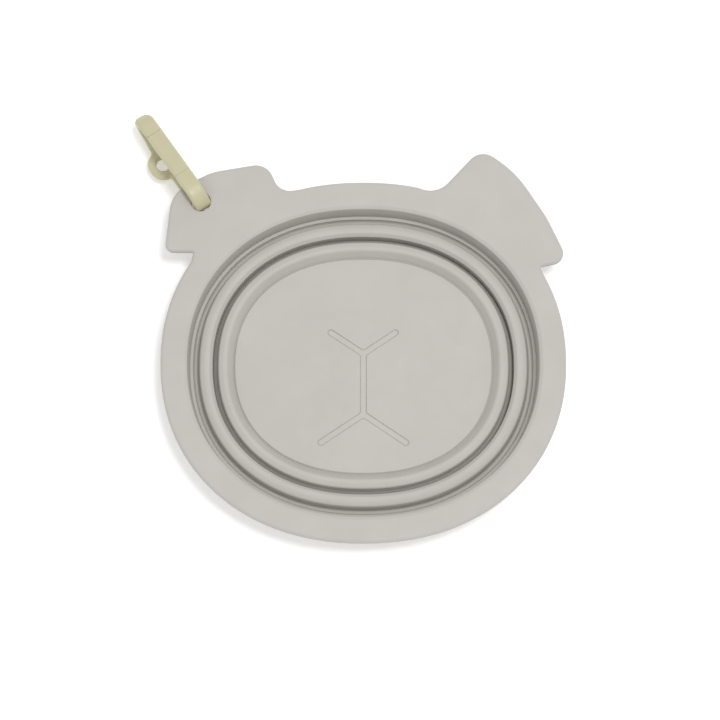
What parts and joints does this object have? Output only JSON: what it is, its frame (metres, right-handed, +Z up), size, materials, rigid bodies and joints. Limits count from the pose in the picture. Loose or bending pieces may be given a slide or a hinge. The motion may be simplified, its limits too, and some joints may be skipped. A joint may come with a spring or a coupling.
{
  "type": "collapsible pet bowl",
  "caption": "Folding silicone travel bowl for a pet, with a dog-head rim, a nose-and-mouth base and a plastic carabiner in one ear.",
  "frame": {"origin": "on the ground under the centre of the whole object's box, bowl folded flat and carabiner at rest", "axes": "+X to the right ear as seen from above, +Y from the chin to the ears, +Z up out of the bowl"},
  "size_m": [0.1836, 0.1878, 0.0253],
  "materials": {
    "silicone": "matte moulded silicone, warm pale grey",
    "plastic": "satin moulded plastic, pale yellow-green",
    "steel": "plain steel"
  },
  "bodies": {
    "base": {"base_dish": "silicone", "inner_fold": "silicone"},
    "middle": {"middle_ring": "silicone", "outer_fold": "silicone"},
    "rim": {"rim_with_ears": "silicone"},
    "carabiner": {"carabiner_frame": "plastic", "gate_pin": "steel"},
    "gate": {"carabiner_gate": "plastic", "gate_spring": "steel"}
  },
  "joints": [
    {"name": "inner_fold_slide", "type": "slide", "parent": "base", "child": "middle", "axis": [0, 0, 1], "range_m": [0, 0.0164], "deforming": ["inner_fold"]},
    {"name": "outer_fold_slide", "type": "slide", "parent": "middle", "child": "rim", "axis": [0, 0, 1], "range_m": [0, 0.0164], "deforming": ["outer_fold"]},
    {"name": "carabiner_swivel", "type": "hinge", "parent": "rim", "child": "carabiner", "pos_m": [-0.06255, 0.05237, 0.01725], "axis": [0, 0, 1], "range_deg": [-40, 40]},
    {"name": "gate_hinge", "type": "hinge", "parent": "carabiner", "child": "gate", "pos_m": [-0.07122, 0.06533, 0.02137], "axis": [-0.831, -0.5563, 0], "range_deg": [0, 20], "stiffness_Nm_per_rad": 0.02}
  ]
}
